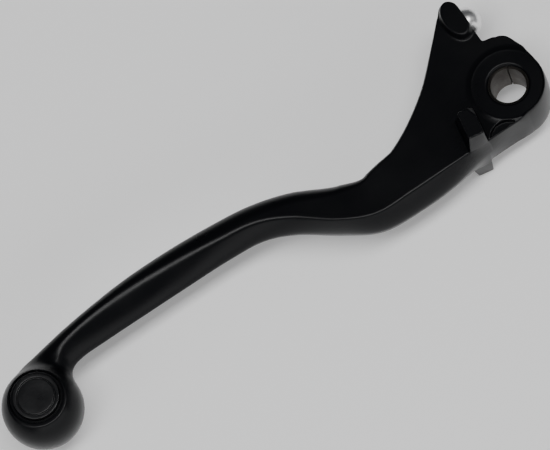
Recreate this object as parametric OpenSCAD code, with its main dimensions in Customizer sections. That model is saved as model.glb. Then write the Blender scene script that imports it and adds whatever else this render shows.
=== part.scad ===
// Motorcycle clutch lever, full length, black coated forging with its pressed-in parts.
// Frame, in mm: origin at the middle of the pivot bore, Z along the pivot axis (badge side is +Z),
// X from the ball end towards the pivot, Y towards the handlebar grip and the push pin.

/* [Part] */
// Which sub-part to show

/* [Pivot] */
// Inner radius of the pivot bush, for a 10 mm pivot bolt
bolt_r = 5.0; // [3:0.1:8]
// Wall of the pivot bush
bush_wall = 0.7; // [0.5:0.05:1.5]
// Length of the pivot bush
bush_len = 12.8; // [10:0.1:20]
// Outer radius of the pivot boss
boss_r = 10.4; // [8:0.1:14]
// Width of the seam slit of the wrapped bush
seam_w = 0.3; // [0.2:0.05:1]

/* [Head] */
// Half thickness of the flat head of the lever
head_h = 6.9; // [5:0.1:9]
// How far the pivot boss stands above the flat of the head
pad_step = 0.3; // [0.1:0.1:1]
// Distance of the push pin from the pivot axis, towards the grip
push_y = 25.0; // [20:0.5:32]
// Radius of the spherical head of the push pin
push_r = 4.2; // [3:0.1:6]
// Half thickness of the lever over the push pin
ear_h = 9.1; // [8:0.1:12]
// Height of the stop lugs from the middle plane
lug_h = 15.0; // [10:0.5:18]

/* [Ball end] */
// Distance from the pivot axis to the middle of the ball end
reach = 155.5; // [120:0.1:180]
// Radius of the ball end seen along the pivot axis
ball_r = 11.35; // [8:0.1:14]
// Half thickness of the ball end at its flats
ball_h = 8.5; // [6:0.1:10]
// Radius of the badge disc
badge_r = 6.5; // [4:0.1:9]

/* [Hidden] */
bush_r = bolt_r + bush_wall;
run_gap = 0.03;
lever_bore_r = bush_r + run_gap;
boss_h = head_h + pad_step;
push_x = 1.5;
shank_r = 2.0;
shank_len = 6.2;
ear_face_x = 1.2;
ball_y = -0.6;
badge_at = [-reach + 0.1, 0.2];
badge_gap = 1.1;
badge_t = 1.9;
badge_rim = 1.0;
groove_deep = 1.5;

// Control rows of the finger blade: x, y of the crest line, half thickness there,
// depth behind the crest, depth in front of the crest, and depth of the rounded roll at the back.
blade = [
    [-167, -2.0, 3.6, 7.2, 3.0, 5.0],
    [-158, 2.0, 4.0, 7.3, 3.0, 6.0],
    [-150, 5.6, 4.6, 7.6, 4.2, 6.2],
    [-141, 10.0, 5.1, 4.6, 5.0, 4.2],
    [-130, 11.9, 5.5, 4.1, 6.4, 3.9],
    [-117, 12.3, 5.5, 4.9, 6.8, 4.6],
    [-103, 11.4, 5.5, 5.9, 6.0, 5.4],
    [-90, 9.8, 5.6, 6.7, 4.6, 6.0],
    [-79, 7.9, 5.8, 7.2, 3.7, 5.8],
    [-70, 3.2, 6.2, 9.2, 2.8, 5.2],
    [-60, -5.0, 6.6, 11.8, 1.8, 4.2],
    [-50, -10.1, 6.9, 13.0, 2.8, 2.8],
    [-38, -10.5, 6.9, 14.0, 3.5, 1.9],
    [-27, -10.5, 6.9, 10.0, 2.9, 1.6],
    [-17, -10.5, 6.9, 8.0, 1.0, 1.6],
    [-8, -10.5, 6.9, 5.0, 0.1, 1.6],
    [0, -10.5, 6.9, 5.0, 0.1, 1.6],
];
front_n = 5;
back_n = 6;
sub_n = 4;

// Catmull-Rom value of the rows p, between rows i and i+1, at fraction t.
function cr(p, i, t) =
    0.5 * (2 * p[i] + (p[i + 1] - p[i - 1]) * t
    + (2 * p[i - 1] - 5 * p[i] + 4 * p[i + 1] - p[i + 2]) * t * t
    + (3 * p[i] - p[i - 1] - 3 * p[i + 1] + p[i + 2]) * t * t * t);
stations = [for (i = [1 : len(blade) - 3], k = [0 : sub_n - 1]) cr(blade, i, k / sub_n)];
last = len(stations) - 1;
function unit(v) = v / norm(v);
function along(i) =
    let (a = stations[max(i - 1, 0)], b = stations[min(i + 1, last)]) unit([b[0] - a[0], b[1] - a[1]]);

// Half section, from the nose (front) over the crest to the back, as [depth, height] pairs.
function half_section(s) = let (h = min(s[2], head_h)) concat(
    [for (k = [0 : front_n]) let (u = sin(90 * k / front_n)) [-s[4] * (1 - pow(u, 1.7)), h * u]],
    [for (k = [0 : back_n]) let (a = 90 * k / back_n) [s[3] - s[5] * (1 - sin(a)), h * cos(a)]]
);
function section(s) =
    let (u = half_section(s), n = len(u)) concat(u, [for (k = [n - 2 : -1 : 1]) [u[k][0], -u[k][1]]]);
ring_n = 2 * (front_n + back_n + 1);
loft_points = [for (i = [0 : last], w = section(stations[i]))
    let (d = along(i)) [stations[i][0] - d[1] * w[0], stations[i][1] + d[0] * w[0], w[1]]];
loft_faces = concat(
    [[for (k = [ring_n - 1 : -1 : 0]) k]],
    [for (i = [0 : last - 1], k = [0 : ring_n - 1]) let (a = i * ring_n, m = (k + 1) % ring_n)
        each [[a + k, a + ring_n + m, a + ring_n + k], [a + k, a + m, a + ring_n + m]]],
    [[for (k = [0 : ring_n - 1]) last * ring_n + k]]
);

function arc(c, r, a0, a1, n) = [for (k = [0 : n]) let (a = a0 + (a1 - a0) * k / n) c + r * [cos(a), sin(a)]];
// Back edge of the head, from the valley behind the bend up to the tip of the ear.
ear_edge = [[-46, 1.9], [-38, 3.7], [-30, 7.5], [-21, 13.7], [-12.5, 21.7], [-6, 28.2], [1, 35]];
head_outline = concat(
    [for (i = [len(ear_edge) - 3 : -1 : 1], k = [4 : -1 : 1]) cr(ear_edge, i, k / 4)],
    [[-38, -10.5], [-0.5, -10.5], [3, -9], [9, 0], [9.6, 2.5], [10.0, 7.4]],
    arc([4.3, 10.0], 4.4, 20, 80, 8),
    [[ear_face_x, 15.0]],
    arc([-1.95, 27.45], 3.15, 0, 135, 10)
);

module blade_body() {
    polyhedron(points = loft_points, faces = loft_faces, convexity = 6);
}

module head_plate() {
    linear_extrude(height = 2 * head_h, center = true) polygon(head_outline);
}

// Oval pad that thickens the ear around the push pin, flush with the ear's working face.
module ear_pad() {
    intersection() {
        translate([-1.45, 24.4, 0]) scale([0.56, 1, 1]) cylinder(h = 2 * ear_h, r = 5.8, center = true, $fn = 48);
        translate([-9 + ear_face_x, 24, 0]) cube([18, 20, 40], center = true);
    }
}

// Drafted block that stops the lever against the perch, one on each side, the lower one a little further back.
module stop_lug(side) {
    mirror([0, 0, side < 0 ? 1 : 0]) translate(side < 0 ? [-16.2, -5.8, 0] : [-15.3, -6.2, 0]) rotate(-10) hull() {
        translate([-3.4, -4.6, 0]) cube([5.9, 1, head_h]);
        translate([-2.25, -4.2, 0]) cube([4.5, 1, lug_h]);
        for (x = [-1, 1]) {
            translate([x * 1.95 - 0.45, 4.3, 0]) cylinder(h = head_h, r = 1.0, $fn = 24);
            translate([x * 1.45, 3.4, 0]) cylinder(h = lug_h, r = 0.8, $fn = 24);
        }
    }
}

// Spherical head and shank of the push pin, pointing along +X; its socket has the same shape.
module push_shape() {
    translate([push_x, push_y, 0]) rotate([0, 90, 0]) {
        sphere(r = push_r, $fn = 64);
        translate([0, 0, -shank_len]) cylinder(h = shank_len, r = shank_r, $fn = 48);
    }
}

// Ball end: rounded disc, flat on both sides.
module ball_end() {
    n = 2.2;
    hz = 11.5;
    flat_r = ball_r * pow(1 - pow(ball_h / hz, n), 1 / n);
    a1 = acos(pow(flat_r / ball_r, n / 2));
    side = [for (k = [-10 : 10]) let (a = a1 * k / 10, s = a < 0 ? -1 : 1)
        [ball_r * pow(cos(a), 2 / n), s * hz * pow(abs(sin(a)), 2 / n)]];
    translate([-reach, ball_y, 0]) rotate_extrude($fn = 72)
        polygon(concat([[0, -ball_h]], side, [[0, ball_h]]));
}

module lever_forging() {
    color([0.05, 0.05, 0.055]) difference() {
        union() {
            blade_body();
            head_plate();
            cylinder(h = 2 * boss_h, r = boss_r, center = true, $fn = 96);
            ear_pad();
            for (side = [-1, 1]) stop_lug(side);
            ball_end();
            // staked lip that holds the push pin
            translate([0.2, push_y, 0]) rotate([0, 90, 0]) cylinder(h = 1.5, r = push_r + 0.5, $fn = 48);
        }
        // pivot bore with its edge chamfers
        cylinder(h = 40, r = lever_bore_r, center = true, $fn = 96);
        for (side = [-1, 1]) mirror([0, 0, side < 0 ? 1 : 0]) {
            translate([0, 0, boss_h - 0.45]) cylinder(h = 1, r1 = lever_bore_r, r2 = lever_bore_r + 1, $fn = 96);
            // half-moon relief beside the boss
            intersection() {
                translate([-8.4, -12.6, head_h - 1.2]) cylinder(h = 4, r = 4.8, $fn = 48);
                translate([-14, -10.1, head_h - 1.2]) cube([12, 6, 4]);
            }
        }
        // socket of the push pin
        push_shape();
        // badge seat: shallow ring gap over a tight counterbore
        translate([badge_at[0], badge_at[1], ball_h - groove_deep])
            cylinder(h = 6, r = badge_r + badge_gap, $fn = 72);
        translate([badge_at[0], badge_at[1], ball_h - badge_t]) cylinder(h = 6, r = badge_r, $fn = 72);
    }
}

// Wrapped bush that the pivot bolt clamps in the perch; the lever swings on it.
module pivot_bush() {
    color([0.42, 0.39, 0.36]) difference() {
        cylinder(h = bush_len, r = bush_r, center = true, $fn = 96);
        cylinder(h = bush_len + 2, r = bolt_r, center = true, $fn = 96);
        for (side = [-1, 1]) mirror([0, 0, side < 0 ? 1 : 0]) translate([0, 0, bush_len / 2 - 0.3])
            cylinder(h = 0.6, r1 = bolt_r, r2 = bolt_r + 0.6, $fn = 96);
        rotate(60) translate([bolt_r - 1, -seam_w / 2, -bush_len]) cube([4, seam_w, 2 * bush_len]);
    }
}

// Hardened steel pin with a spherical head that pushes the master cylinder's rod.
module push_pin() {
    color([0.8, 0.8, 0.82]) push_shape();
}

// Plain round badge: rim, ring groove and slightly sunk middle, pressed into the ball end.
module end_badge() {
    color([0.09, 0.09, 0.1]) translate([badge_at[0], badge_at[1], ball_h - badge_t]) rotate_extrude($fn = 72)
        polygon([
            [0, 0], [badge_r, 0], [badge_r, badge_t - 0.2], [badge_r - 0.2, badge_t],
            [badge_r - badge_rim, badge_t], [badge_r - badge_rim, badge_t - 0.5],
            [badge_r - badge_rim - 0.4, badge_t - 0.5], [badge_r - badge_rim - 0.4, badge_t - 0.1],
            [0, badge_t - 0.1],
        ]);
}

lever_forging();
pivot_bush();
push_pin();
end_badge();
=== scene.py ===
"""Looks of the motorcycle clutch lever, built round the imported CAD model. Lengths below are in millimetres
until mesh_object() turns them into metres."""
import bpy
import bmesh
import math
import numpy as np
from mathutils import Matrix, Vector


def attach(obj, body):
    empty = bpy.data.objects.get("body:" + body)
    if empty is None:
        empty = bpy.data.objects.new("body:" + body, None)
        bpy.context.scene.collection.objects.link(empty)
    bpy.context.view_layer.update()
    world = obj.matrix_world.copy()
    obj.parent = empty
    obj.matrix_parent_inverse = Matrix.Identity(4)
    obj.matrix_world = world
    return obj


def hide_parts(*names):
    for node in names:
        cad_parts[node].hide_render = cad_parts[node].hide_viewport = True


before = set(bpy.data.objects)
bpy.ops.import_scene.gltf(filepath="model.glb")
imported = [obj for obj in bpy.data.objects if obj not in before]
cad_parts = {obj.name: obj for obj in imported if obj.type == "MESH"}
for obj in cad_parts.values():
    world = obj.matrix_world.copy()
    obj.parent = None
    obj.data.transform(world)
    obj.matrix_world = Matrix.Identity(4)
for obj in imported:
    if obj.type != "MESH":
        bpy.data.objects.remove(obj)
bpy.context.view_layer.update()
MM = 0.001

# ---------------------------------------------------------------- sizes, the same as the CAD model's
LEVER_BORE_R = 5.73
BOSS_R, HEAD_H, BOSS_H = 10.4, 6.9, 7.2
PUSH = np.array([1.5, 25.0, 0.0])
PUSH_R = 4.2                                # ball of the push pin's head
EAR_X, EAR_H = 1.2, 9.1                     # working face of the ear, top of its pad
PAD, PAD_RX, PAD_RY = (-1.45, 24.4), 3.1, 5.6
PAD_DRAFT, PAD_COS = 0.36, 0.94             # slope of the pad's side, cosine of its angle
NOTCH_FLOOR, NOTCH_SLOPE = 15.05, 0.2       # crotch between ear and boss
LUG, LUG_UNDER, LUG_H = (-15.3, -6.2), (-0.9, 0.4), 15.0
LUG_TURN = -10                              # degrees about the pivot axis
# The lug at the head's face, and how much each value changes with every millimetre above it.
LUG_HALF_X, LUG_SHIFT, LUG_FRONT, LUG_BACK = (2.95, -0.085), (0.45, -0.055), (-5.0, 0.09), (5.4, -0.14)
LUG_CORNER, LUG_FRONT_LIMIT = 0.8, -10.9
MOON, MOON_R, MOON_DEEP, MOON_FRONT = (-8.4, -12.6), 4.8, 1.2, -10.1
RAMP_OUT, RAMP_WIDTH = 1.6, 2.2             # ramp up to the boss face: start outside the boss, width
BEAD_H, BEAD_IN, BEAD_WIDTH = 0.07, 0.1, 0.25
BORE_CHAMFER = 0.45
BALL = np.array([-155.5, -0.6])
BALL_R, BALL_H, BALL_HZ, BALL_N = 11.35, 8.5, 11.5, 2.2
BLADE_END = -155.0                          # the blade stops here, inside the ball
SWELL, SWELL_H, SWELL_WIDTH = (-144.2, 6.8), 0.4, 1.3
BADGE = np.array([-155.4, 0.2])
BADGE_R, BADGE_GAP, BADGE_T, GROOVE = 6.5, 1.1, 1.9, 1.5
BADGE_RIM = 1.0

# Rows along the blade: x, y of the crest line, half thickness, depth behind the crest, depth in front of it,
# depth of the rounded roll at the back, and how sharp the crest is (its rounding).
BLADE = np.array([
    [-167, -2.0, 3.6, 7.2, 3.0, 5.0, 0.8],
    [-158, 2.0, 4.0, 7.3, 3.0, 6.0, 0.8],
    [-150, 5.6, 4.6, 7.6, 4.2, 6.2, 0.7],
    [-141, 10.0, 5.1, 4.6, 5.0, 4.2, 0.6],
    [-130, 11.9, 5.5, 4.1, 6.4, 3.9, 0.6],
    [-117, 12.3, 5.5, 4.9, 6.8, 4.6, 0.6],
    [-103, 11.4, 5.5, 5.9, 6.0, 5.4, 0.6],
    [-90, 9.8, 5.6, 6.7, 4.6, 6.0, 0.6],
    [-79, 7.9, 5.8, 7.2, 3.7, 5.8, 0.6],
    [-70, 3.2, 6.2, 9.2, 2.8, 5.2, 0.6],
    [-60, -5.0, 6.6, 11.8, 1.8, 4.2, 0.5],
    [-50, -10.1, 6.9, 13.0, 2.8, 2.8, 0.5],
    [-38, -10.5, 6.9, 14.2, 3.5, 1.9, 0.5],
    [-27, -10.5, 6.9, 14.0, 2.9, 1.6, 0.5],
    [-17, -10.5, 6.9, 14.0, 1.0, 1.4, 0.5],
    [-8, -10.5, 6.9, 14.0, 0.1, 0.9, 0.6],
    [0, -10.7, 6.9, 14.0, 0.0, 0.6, 0.5],
    [9, -11.9, 6.9, 14.0, 0.0, 0.6, 0.5],
    [18, -13.5, 6.9, 14.0, 0.0, 0.6, 0.5],
], float)
# Points of the ear's back edge.
EAR_EDGE = np.array([
    [-46, 1.9], [-38, 3.7], [-30, 7.5], [-21, 13.7], [-12.5, 21.7], [-6, 28.2], [1, 35]], float)
FRONT_POWER = 1.7                           # how full the front profile is


def catmull(rows, n):
    """Points of a Catmull-Rom curve through all rows but the first and last, n to a span."""
    out = []
    for i in range(1, len(rows) - 2):
        p0, p1, p2, p3 = rows[i - 1:i + 3]
        for t in np.arange(n) / n:
            out.append(0.5 * (2 * p1 + (p2 - p0) * t + (2 * p0 - 5 * p1 + 4 * p2 - p3) * t ** 2
                              + (3 * p1 - p0 - 3 * p2 + p3) * t ** 3))
    out.append(rows[-2])
    return np.array(out)


def arc(cx, cy, r, a0, a1, n):
    """Points of a round stretch from angle a0 to a1, in degrees."""
    a = np.radians(np.linspace(a0, a1, n + 1))
    return np.stack([cx + r * np.cos(a), cy + r * np.sin(a)], 1)


SPINE = catmull(BLADE, 40)
SPINE[:, 2] = np.minimum(SPINE[:, 2], HEAD_H)


def outline():
    """Plan outline of back and head; the front side lies far out, because the front profile cuts it."""
    d = np.gradient(SPINE[:, :2], axis=0)
    d /= np.linalg.norm(d, axis=1)[:, None]
    back = SPINE[:, :2] + np.stack([-d[:, 1], d[:, 0]], 1) * SPINE[:, 3:4]
    back = back[back[:, 0] < -40]
    edge = catmull(EAR_EDGE, 30)
    edge = edge[edge[:, 0] > -37.5]
    return np.concatenate([
        back, edge,
        arc(-1.95, 27.45, 3.15, 135, 0, 24), [[3.0, 27.0], [3.0, 16.0]],
        arc(4.3, 10.0, 4.4, 80, 20, 20), [[10.0, 7.4]],
        arc(0, 0, BOSS_R, 8, -90, 60),
        [[-4, -11.4], [-9, -15], [-12, -30], [-170, -30], [-170, back[0, 1]]],
    ])


OUTLINE = outline()


def nearest_on(path, pts):
    """Distance from pts to a polyline, side, and the nearest point's place along it."""
    a, b = path[:-1, :2], path[1:, :2]
    ab = b - a
    ll = (ab ** 2).sum(1)
    best = np.full(len(pts), 1e9)
    side = np.zeros(len(pts))
    pos = np.zeros(len(pts))
    for lo in range(0, len(pts), NEAR_CHUNK):
        part = slice(lo, lo + NEAR_CHUNK)
        p = pts[part]
        t = ((p[:, None, :] - a[None]) * ab[None]).sum(2) / ll[None]
        tc = np.clip(t, 0, 1)
        q = a[None] + tc[..., None] * ab[None]
        dd = ((p[:, None, :] - q) ** 2).sum(2)
        i = dd.argmin(1)
        k = np.arange(len(p))
        best[part] = np.sqrt(dd[k, i])
        r = p - q[k, i]
        side[part] = np.sign(ab[i, 0] * r[:, 1] - ab[i, 1] * r[:, 0])
        pos[part] = i + tc[k, i]
    return best, side, pos


def inside(poly, pts):
    """Which points lie inside a closed outline."""
    x, y = pts[:, 0], pts[:, 1]
    hit = np.zeros(len(pts), bool)
    for (x1, y1), (x2, y2) in zip(poly, np.roll(poly, -1, 0)):
        if y1 == y2:
            continue
        m = ((y1 > y) != (y2 > y))
        hit ^= m & (x < (x2 - x1) * (y - y1) / (y2 - y1) + x1)
    return hit


# ---------------------------------------------------------------- plan fields on a fine grid
LO = np.array([-168.5, -17.0, -16.5])
HI = np.array([13.0, 32.5, 16.5])
PLAN_STEP = 0.5
NEAR_CHUNK = 4000                           # points handled at a time, to spare memory
FIELD_CHUNK = 400000


def plan_fields():
    """Values over the plan that do not change with height; plan_at() reads them."""
    nx, ny = (np.ceil((HI[:2] - LO[:2]) / PLAN_STEP) + 4).astype(int)
    gx = LO[0] - PLAN_STEP + np.arange(nx) * PLAN_STEP
    gy = LO[1] - PLAN_STEP + np.arange(ny) * PLAN_STEP
    pts = np.stack(np.meshgrid(gx, gy, indexing="ij"), -1).reshape(-1, 2)
    dist, side, pos = nearest_on(SPINE, pts)
    i = np.minimum(pos.astype(int), len(SPINE) - 2)
    f = (pos - i)[:, None]
    row = SPINE[i] * (1 - f) + SPINE[i + 1] * f
    w = dist * side
    closed = np.concatenate([OUTLINE, OUTLINE[:1]])
    dd, _, _ = nearest_on(closed, pts)
    plan = np.where(inside(OUTLINE, pts), -dd, dd)
    out = np.stack([w, plan, row[:, 2], row[:, 4], row[:, 5], row[:, 6]], -1)
    return out.reshape(nx, ny, -1)


PLAN = plan_fields()


def plan_at(x, y):
    """Bicubic values of the plan fields: offset from the crest, distance to the outline, half thickness, front
    depth, roll depth, crest rounding."""
    u = (x - LO[0]) / PLAN_STEP + 1
    v = (y - LO[1]) / PLAN_STEP + 1
    i = np.clip(np.floor(u).astype(int), 1, PLAN.shape[0] - 3)
    j = np.clip(np.floor(v).astype(int), 1, PLAN.shape[1] - 3)
    fu, fv = u - i, v - j

    def weights(t):
        return (0.5 * (-t + 2 * t * t - t ** 3), 0.5 * (2 - 5 * t * t + 3 * t ** 3),
                0.5 * (t + 4 * t * t - 3 * t ** 3), 0.5 * (-t * t + t ** 3))

    wu, wv = weights(fu), weights(fv)
    out = 0
    for a in range(4):
        for b in range(4):
            out = out + PLAN[i + a - 1, j + b - 1] * (wu[a] * wv[b])[:, None]
    return out.T


def smax(a, b, k):
    """The greater of two fields, rounded where they meet."""
    return np.maximum(a, b) + np.maximum(k - np.abs(a - b), 0) ** 2 / (4 * k)


def smin(a, b, k):
    return -smax(-a, -b, k)


def lever_field(p):
    """Signed distance, roughly, from points p to the skin of the forging: negative inside."""
    x, y, z = p[:, 0], p[:, 1], p[:, 2]
    az = np.abs(z)
    w, plan, h, front, roll, crest = plan_at(x, y)
    h = np.maximum(h, 0.5)
    # front of the blade: from the crest down to a rounded nose at the middle plane
    u = np.maximum(az / h, 1e-4)
    slope = front * FRONT_POWER * u ** (FRONT_POWER - 1) / h
    g_front = (-w - front * (1 - u ** FRONT_POWER)) / np.sqrt(1 + slope ** 2)
    # top and back: flat, then an elliptical roll down to the middle plane
    wp = np.maximum(plan + roll, 0)
    q = np.sqrt((wp / roll) ** 2 + u ** 2)
    grad = np.sqrt((wp / roll ** 2) ** 2 + (u / h) ** 2)
    g_back = (q - 1) * q / grad
    body = smax(g_front, g_back, crest)
    body = np.maximum(body, BLADE_END - x)
    # raised face of the pivot boss, with a fine bead along its edge
    rho = np.hypot(x, y)
    t = np.clip((BOSS_R + RAMP_OUT - rho) / RAMP_WIDTH, 0, 1)
    bead = BEAD_H * np.exp(-((rho - BOSS_R + BEAD_IN) / BEAD_WIDTH) ** 2)
    body = body - (BOSS_H - HEAD_H) * t * t * (3 - 2 * t) - bead
    # oval pad over the push pin, with drafted sides down to the face of the ear
    ex, ey = (x - PAD[0]) / PAD_RX, (y - PAD[1]) / PAD_RY
    er = np.hypot(ex, ey)
    eg = np.hypot(ex / PAD_RX, ey / PAD_RY)
    pad = (er - 1) * er / np.maximum(eg, 1e-4)
    pad = (pad - (EAR_H - np.maximum(az, HEAD_H - 0.2)) * PAD_DRAFT) * PAD_COS
    pad = smax(smax(pad, plan, 0.3), az - EAR_H, 0.35)
    body = smin(body, pad, 0.5)
    # stop lugs, one on each face
    c, s = math.cos(math.radians(LUG_TURN)), math.sin(math.radians(LUG_TURN))
    dx = x - LUG[0] - np.where(z < 0, LUG_UNDER[0], 0)
    dy = y - LUG[1] - np.where(z < 0, LUG_UNDER[1], 0)
    lx, ly = dx * c + dy * s, -dx * s + dy * c
    up = np.maximum(az - HEAD_H, -3.0)
    lx = lx + LUG_SHIFT[0] + LUG_SHIFT[1] * up
    y0 = LUG_FRONT[0] + LUG_FRONT[1] * up
    qx = np.abs(lx) - (LUG_HALF_X[0] + LUG_HALF_X[1] * up)
    qy = ly - (LUG_BACK[0] + LUG_BACK[1] * up)
    back_round = np.hypot(np.maximum(qx + LUG_CORNER, 0), np.maximum(qy + LUG_CORNER, 0)) - LUG_CORNER
    lug = np.maximum(back_round, np.minimum(np.maximum(qx, qy), 0))
    lug = smax(lug, y0 - ly, 0.5)
    lug = smax(smax(lug, LUG_FRONT_LIMIT - y, 0.4), az - LUG_H, np.where(z > 0, 0.25, 0.9))
    body = smin(body, lug, 0.5)
    # the ear's flat working face and the crotch under it
    notch = smax(EAR_X - x, NOTCH_FLOOR - NOTCH_SLOPE * (x - EAR_X) - y, 0.8)
    body = smax(body, -notch, 0.4)
    # staked lip round the push pin
    pr = np.hypot(y - PUSH[1], z)
    lip = smax(pr - PUSH_R - 0.5, np.abs(x - 0.7) - 1.0, 0.4)
    body = smin(body, lip, 0.3)
    # half-moon relief beside the boss
    moon = np.maximum(np.hypot(x - MOON[0], y - MOON[1]) - MOON_R, HEAD_H - MOON_DEEP - az)
    moon = np.maximum(moon, MOON_FRONT - y)
    body = smax(body, -moon, 0.2)
    # ball end
    ur = np.maximum(np.hypot(x - BALL[0], y - BALL[1]) / BALL_R, 1e-4)
    uz = np.maximum(az / BALL_HZ, 1e-4)
    rise = BALL_N * np.hypot(ur ** (BALL_N - 1) / BALL_R, uz ** (BALL_N - 1) / BALL_HZ)
    ball = (ur ** BALL_N + uz ** BALL_N - 1) / np.maximum(rise, 0.02)
    ball = smax(ball, az - BALL_H, 0.25)
    blend = 2.4 + 1.4 * np.clip((12.0 - (y - BALL[1])) / 8.0, 0, 1)
    body = smin(body, ball, blend)
    # small swelling where the crest dies out at the neck
    off = (x - SWELL[0]) ** 2 + (y - SWELL[1]) ** 2
    body = body - SWELL_H * np.exp(-off / (2 * SWELL_WIDTH ** 2))
    # badge seat
    sr = np.hypot(x - BADGE[0], y - BADGE[1])
    body = smax(body, -np.maximum(sr - BADGE_R - BADGE_GAP, BALL_H - GROOVE - z), 0.3)
    body = smax(body, -np.maximum(sr - BADGE_R, BALL_H - BADGE_T - z), 0.1)
    # socket of the push pin
    sock = np.sqrt((x - PUSH[0]) ** 2 + (y - PUSH[1]) ** 2 + z ** 2) - PUSH_R
    body = smax(body, -sock, 0.1)
    # pivot bore with its edge chamfers
    chamfer = (rho - LEVER_BORE_R - (az - BOSS_H + BORE_CHAMFER)) * 0.707
    bore = np.minimum(rho - LEVER_BORE_R, chamfer)
    return smax(body, -bore, 0.2)


def gradient(p, eps=0.06):
    """Gradient of lever_field by differences over eps each way."""
    g = np.zeros_like(p)
    for k in range(3):
        d = np.zeros(3)
        d[k] = eps
        g[:, k] = lever_field(p + d) - lever_field(p - d)
    return g / (2 * eps)


def surface_nets(field, lo, hi, step):
    """Quad mesh of the field's zero surface, and its outward normals."""
    n = np.ceil((hi - lo) / step).astype(int) + 1
    block = 6
    nb = np.ceil((n - 1) / block).astype(int)
    n = nb * block + 1
    # a coarse pass finds the blocks that the surface can pass through
    ci = np.stack(np.meshgrid(*[np.arange(m) for m in nb], indexing="ij"), -1).reshape(-1, 3)
    cf = field(lo + (ci + 0.5) * block * step)
    reach = block * step * math.sqrt(3) / 2 * 1.25 + 0.4
    vol = np.repeat(np.repeat(np.repeat(cf.reshape(nb), block, 0), block, 1), block, 2)
    vol = np.pad(vol, ((0, 1), (0, 1), (0, 1)), mode="edge").astype(np.float32)
    need = np.zeros(tuple(n), bool)
    for c in ci[np.abs(cf) < reach]:
        i, j, k = c * block
        need[i:i + block + 1, j:j + block + 1, k:k + block + 1] = True
    idx = np.argwhere(need)
    val = np.empty(len(idx), np.float32)
    for a in range(0, len(idx), FIELD_CHUNK):
        val[a:a + FIELD_CHUNK] = field(lo + idx[a:a + FIELD_CHUNK] * step)
    vol[need] = val
    neg = vol < 0
    cube = [(a, b, c) for a in (0, 1) for b in (0, 1) for c in (0, 1)]
    cell = tuple(n - 1)
    count = sum(neg[a:a + cell[0], b:b + cell[1], c:c + cell[2]].astype(np.int8) for a, b, c in cube)
    act = np.argwhere((count > 0) & (count < 8))
    order = -np.ones(cell, np.int64)
    order[act[:, 0], act[:, 1], act[:, 2]] = np.arange(len(act))
    total = np.zeros((len(act), 3))
    hits = np.zeros(len(act))
    for a in cube:
        for k in range(3):
            if a[k]:
                continue
            b = list(a)
            b[k] = 1
            va = vol[tuple((act + a).T)]
            vb = vol[tuple((act + b).T)]
            cross = (va < 0) != (vb < 0)
            t = np.where(cross, va / np.where(cross, va - vb, 1), 0)
            pos = np.array(a, float) + t[:, None] * (np.array(b) - np.array(a))
            total += np.where(cross[:, None], pos, 0)
            hits += cross
    pts = lo + (act + total / hits[:, None]) * step
    quads = []
    for k in range(3):
        u, v = (k + 1) % 3, (k + 2) % 3
        s0 = [slice(None)] * 3
        s1 = [slice(None)] * 3
        s0[k], s1[k] = slice(0, -1), slice(1, None)
        change = neg[tuple(s0)] != neg[tuple(s1)]
        e = np.argwhere(change)
        e = e[(e[:, u] > 0) & (e[:, v] > 0) & (e[:, u] < cell[u]) & (e[:, v] < cell[v])]
        du, dv = np.zeros(3, int), np.zeros(3, int)
        du[u] = dv[v] = 1
        corners = np.stack([order[tuple((e - o).T)] for o in (du + dv, dv, 0 * du, du)], 1)
        solid_first = neg[tuple(e.T)]
        corners[~solid_first] = corners[~solid_first][:, ::-1]
        quads.append(corners)
    quads = np.concatenate(quads)
    # slide each point onto the true surface, evening the mesh out on the way
    link_a = np.concatenate([quads[:, i] for i in range(4)])
    link_b = np.concatenate([quads[:, (i + 1) % 4] for i in range(4)])
    for turn in range(3):
        g = gradient(pts)
        g2 = np.maximum((g ** 2).sum(1), 0.05)
        move = -(field(pts) / g2)[:, None] * g
        size = np.linalg.norm(move, axis=1)
        move *= np.minimum(1, 0.7 * step / np.maximum(size, 1e-9))[:, None]
        pts = pts + move
        if turn < 2:
            mean = np.zeros_like(pts)
            num = np.zeros(len(pts))
            for a, b in ((link_a, link_b), (link_b, link_a)):
                for ax in range(3):
                    mean[:, ax] += np.bincount(a, pts[b, ax], len(pts))
                num += np.bincount(a, minlength=len(pts))
            slide = mean / num[:, None] - pts
            nrm = g / np.sqrt(g2)[:, None]
            slide -= (slide * nrm).sum(1)[:, None] * nrm
            pts = pts + 0.5 * slide
    g = gradient(pts)
    return pts, quads, g / np.maximum(np.linalg.norm(g, axis=1), 1e-6)[:, None]


def mesh_object(name, pts, faces, normals=None):
    """Smooth-shaded object from points in millimetres."""
    me = bpy.data.meshes.new(name)
    me.from_pydata([tuple(p) for p in np.asarray(pts) * MM], [], [tuple(map(int, f)) for f in faces])
    me.polygons.foreach_set("use_smooth", [True] * len(me.polygons))
    if normals is not None:
        me.normals_split_custom_set_from_vertices([tuple(v) for v in normals])
    ob = bpy.data.objects.new(name, me)
    bpy.context.scene.collection.objects.link(ob)
    return ob


# ---------------------------------------------------------------- materials
def new_material(name):
    m = bpy.data.materials.new(name)
    m.use_nodes = True
    nt = m.node_tree
    return m, nt, nt.nodes["Principled BSDF"]


def add_bump(nt, bsdf, scale, strength, distance):
    """Fine noise on the normal. Gives back the coordinates it uses."""
    tc = nt.nodes.new("ShaderNodeTexCoord")
    no = nt.nodes.new("ShaderNodeTexNoise")
    no.inputs["Scale"].default_value = scale
    no.inputs["Detail"].default_value = 3.0
    bu = nt.nodes.new("ShaderNodeBump")
    bu.inputs["Strength"].default_value = strength
    bu.inputs["Distance"].default_value = distance
    nt.links.new(tc.outputs["Object"], no.inputs["Vector"])
    nt.links.new(no.outputs["Fac"], bu.inputs["Height"])
    nt.links.new(bu.outputs["Normal"], bsdf.inputs["Normal"])
    return tc


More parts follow.
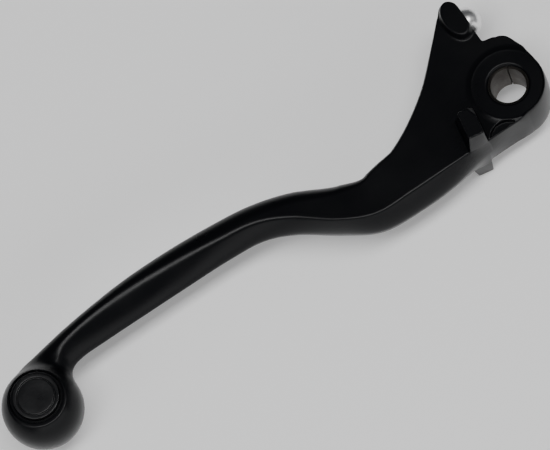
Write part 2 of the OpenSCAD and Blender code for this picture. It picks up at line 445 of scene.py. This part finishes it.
def vary(nt, socket, tc, scale, low, high):
    """Slow noise between two values on a float socket."""
    no = nt.nodes.new("ShaderNodeTexNoise")
    no.inputs["Scale"].default_value = scale
    no.inputs["Detail"].default_value = 4.0
    mr = nt.nodes.new("ShaderNodeMapRange")
    mr.inputs["From Min"].default_value = 0.3
    mr.inputs["From Max"].default_value = 0.7
    mr.inputs["To Min"].default_value = low
    mr.inputs["To Max"].default_value = high
    nt.links.new(tc.outputs["Object"], no.inputs["Vector"])
    nt.links.new(no.outputs["Fac"], mr.inputs["Value"])
    nt.links.new(mr.outputs["Result"], socket)


def black_coating():
    m, nt, b = new_material("black_coating")
    b.inputs["Base Color"].default_value = (0.0024, 0.0026, 0.0034, 1)
    b.inputs["Specular IOR Level"].default_value = 0.28
    b.inputs["IOR"].default_value = 1.36
    tc = add_bump(nt, b, 900, 0.10, 0.0002)
    vary(nt, b.inputs["Roughness"], tc, 60, 0.26, 0.34)
    return m


def badge_black():
    m, nt, b = new_material("badge_black")
    b.inputs["Base Color"].default_value = (0.006, 0.0062, 0.007, 1)
    b.inputs["Specular IOR Level"].default_value = 0.4
    tc = add_bump(nt, b, 1500, 0.15, 0.0002)
    vary(nt, b.inputs["Roughness"], tc, 150, 0.26, 0.38)
    return m


def bush_metal():
    m, nt, b = new_material("bush_metal")
    b.inputs["Metallic"].default_value = 0.9
    tc = add_bump(nt, b, 2500, 0.25, 0.0002)
    # painted shade: the end rings, which face up and down, get a darker colour than the bore, standing in for
    # the shadow in the recess at each end of the bush
    xyz = nt.nodes.new("ShaderNodeSeparateXYZ")
    flat = nt.nodes.new("ShaderNodeMath")
    flat.operation = "ABSOLUTE"
    ramp = nt.nodes.new("ShaderNodeValToRGB")
    ramp.color_ramp.elements[0].position = 0.4
    ramp.color_ramp.elements[0].color = (0.075, 0.066, 0.058, 1)
    ramp.color_ramp.elements[1].position = 0.8
    ramp.color_ramp.elements[1].color = (0.012, 0.011, 0.010, 1)
    nt.links.new(tc.outputs["Normal"], xyz.inputs[0])
    nt.links.new(xyz.outputs["Z"], flat.inputs[0])
    nt.links.new(flat.outputs[0], ramp.inputs["Fac"])
    nt.links.new(ramp.outputs["Color"], b.inputs["Base Color"])
    vary(nt, b.inputs["Roughness"], tc, 300, 0.38, 0.55)
    return m


def pin_steel():
    m, nt, b = new_material("pin_steel")
    b.inputs["Base Color"].default_value = (0.92, 0.92, 0.92, 1)
    b.inputs["Metallic"].default_value = 1.0
    tc = add_bump(nt, b, 3000, 0.05, 0.0001)
    vary(nt, b.inputs["Roughness"], tc, 400, 0.30, 0.38)
    return m


def paint(ob, mat):
    ob.data.materials.clear()
    ob.data.materials.append(mat)


def paint_node(name, mat):
    """Gives a CAD node that stays in view its material."""
    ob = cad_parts[name]
    if not ob.material_slots:
        ob.data.materials.append(mat)
    for s in ob.material_slots:
        s.material = mat


# ---------------------------------------------------------------- lathed pieces
def lathe(name, profile, centre, z0, n=128):
    """Solid of revolution about a vertical axis, from (radius, height) pairs that start and end on the axis."""
    pts, faces = [], []
    k = len(profile)
    for i, (r, h) in enumerate(profile):
        for j in range(n):
            a = 2 * math.pi * j / n
            pts.append((centre[0] + r * math.cos(a), centre[1] + r * math.sin(a), z0 + h))
    for i in range(k - 1):
        for j in range(n):
            m = (j + 1) % n
            faces.append((i * n + j, i * n + m, (i + 1) * n + m, (i + 1) * n + j))
    ob = mesh_object(name, pts, faces)
    bm = bmesh.new()
    bm.from_mesh(ob.data)
    bmesh.ops.remove_doubles(bm, verts=bm.verts, dist=1e-6)
    bmesh.ops.recalc_face_normals(bm, faces=bm.faces)
    bm.to_mesh(ob.data)
    bm.free()
    return ob


def soften(points, r, n=4):
    """Rounds the corners of an open profile with arcs of about radius r."""
    pts = [np.array(p, float) for p in points]
    out = [pts[0]]
    for a, b, c in zip(pts, pts[1:], pts[2:]):
        da, dc = np.linalg.norm(a - b), np.linalg.norm(c - b)
        t = min(r, da * 0.45, dc * 0.45)
        p, q = b + (a - b) / da * t, b + (c - b) / dc * t
        for i in range(n + 1):
            s = i / n
            out.append((1 - s) ** 2 * p + 2 * s * (1 - s) * b + s * s * q)
    out.append(pts[-1])
    return out


# ---------------------------------------------------------------- build
step = 0.3
pts, quads, normals = surface_nets(lever_field, LO, HI, step)
forging = mesh_object("lever_skin", pts, quads, normals)
paint(forging, black_coating())
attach(forging, "lever")
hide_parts("lever_forging")

rim = BADGE_R - BADGE_RIM
badge = lathe("badge_disc", soften([
    (0, 0), (BADGE_R - 0.02, 0), (BADGE_R - 0.02, BADGE_T), (rim, BADGE_T), (rim - 0.1, BADGE_T - 0.5),
    (rim - 0.35, BADGE_T - 0.5), (rim - 0.45, BADGE_T - 0.1),
    (3.0, BADGE_T - 0.14), (0, BADGE_T - 0.15)], 0.16),
    BADGE, BALL_H - BADGE_T)
paint(badge, badge_black())
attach(badge, "lever")
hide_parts("end_badge")

paint_node("pivot_bush", bush_metal())
paint_node("push_pin", pin_steel())

# ---------------------------------------------------------------- floor, light, camera
def plane(name, size, centre, mat):
    me = bpy.data.meshes.new(name)
    x, y = size[0] / 2, size[1] / 2
    me.from_pydata([(-x, -y, 0), (x, -y, 0), (x, y, 0), (-x, y, 0)], [], [(0, 1, 2, 3)])
    ob = bpy.data.objects.new(name, me)
    ob.location = centre
    me.materials.append(mat)
    bpy.context.scene.collection.objects.link(ob)
    return ob


floor_mat, nt, b = new_material("floor")
b.inputs["Base Color"].default_value = (0.86, 0.86, 0.86, 1)
b.inputs["Roughness"].default_value = 0.9
b.inputs["Specular IOR Level"].default_value = 0.1
b.inputs["Emission Color"].default_value = (1, 1, 1, 1)
b.inputs["Emission Strength"].default_value = 0.2
plane("floor", (6, 6), (-0.075, 0, -LUG_H * MM), floor_mat)

world = bpy.data.worlds.new("world")
bpy.context.scene.world = world
world.use_nodes = True
world.node_tree.nodes["Background"].inputs["Color"].default_value = (0.9, 0.93, 1.0, 1)
world.node_tree.nodes["Background"].inputs["Strength"].default_value = 0.05


def area_light(name, size, power, place, target, colour=(1, 1, 1)):
    li = bpy.data.lights.new(name, "AREA")
    li.shape = "RECTANGLE"
    li.size, li.size_y = size
    li.energy = power
    li.color = colour
    ob = bpy.data.objects.new(name, li)
    ob.location = place
    ob.rotation_euler = (Vector(target) - Vector(place)).to_track_quat("-Z", "Y").to_euler()
    bpy.context.scene.collection.objects.link(ob)
    return ob


MID = (-0.075, 0.0, 0.0)
SENSOR, PICTURE_WIDTH = 36, 550
area_light("key", (1.6, 0.35), 19, (-0.075, -0.21, 1.5), MID)
area_light("front", (2.8, 0.8), 11, (-0.075, -1.3, 0.42), MID)
area_light("left", (0.8, 0.8), 3, (-1.5, -0.4, 1.0), MID)
area_light("right", (0.8, 0.8), 0.8, (1.4, -0.4, 1.0), MID)


def photo_camera(az, el, roll, distance, px_per_mm, target):
    """Camera at that azimuth, elevation and roll in degrees, far off, px_per_mm at the target."""
    a, e, r = map(math.radians, (az, el, roll))
    back = Vector((math.sin(a) * math.cos(e), -math.cos(a) * math.cos(e), math.sin(e)))
    right = Vector((0, 0, 1)).cross(back).normalized()
    up = back.cross(right)
    x = math.cos(r) * right - math.sin(r) * up
    y = math.sin(r) * right + math.cos(r) * up
    cam = bpy.data.cameras.new("camera")
    cam.sensor_width = SENSOR
    cam.lens = px_per_mm * distance * SENSOR / PICTURE_WIDTH
    cam.clip_end = 50
    ob = bpy.data.objects.new("camera", cam)
    m = Matrix((x, y, back)).transposed().to_4x4()
    m.translation = (Vector(target) + back * distance) * MM
    ob.matrix_world = m
    bpy.context.scene.collection.objects.link(ob)
    bpy.context.scene.camera = ob


photo_camera(az=-7.6, el=68.5, roll=26.6, distance=1560, px_per_mm=3.625, target=(-74.4, 6.37, 0))
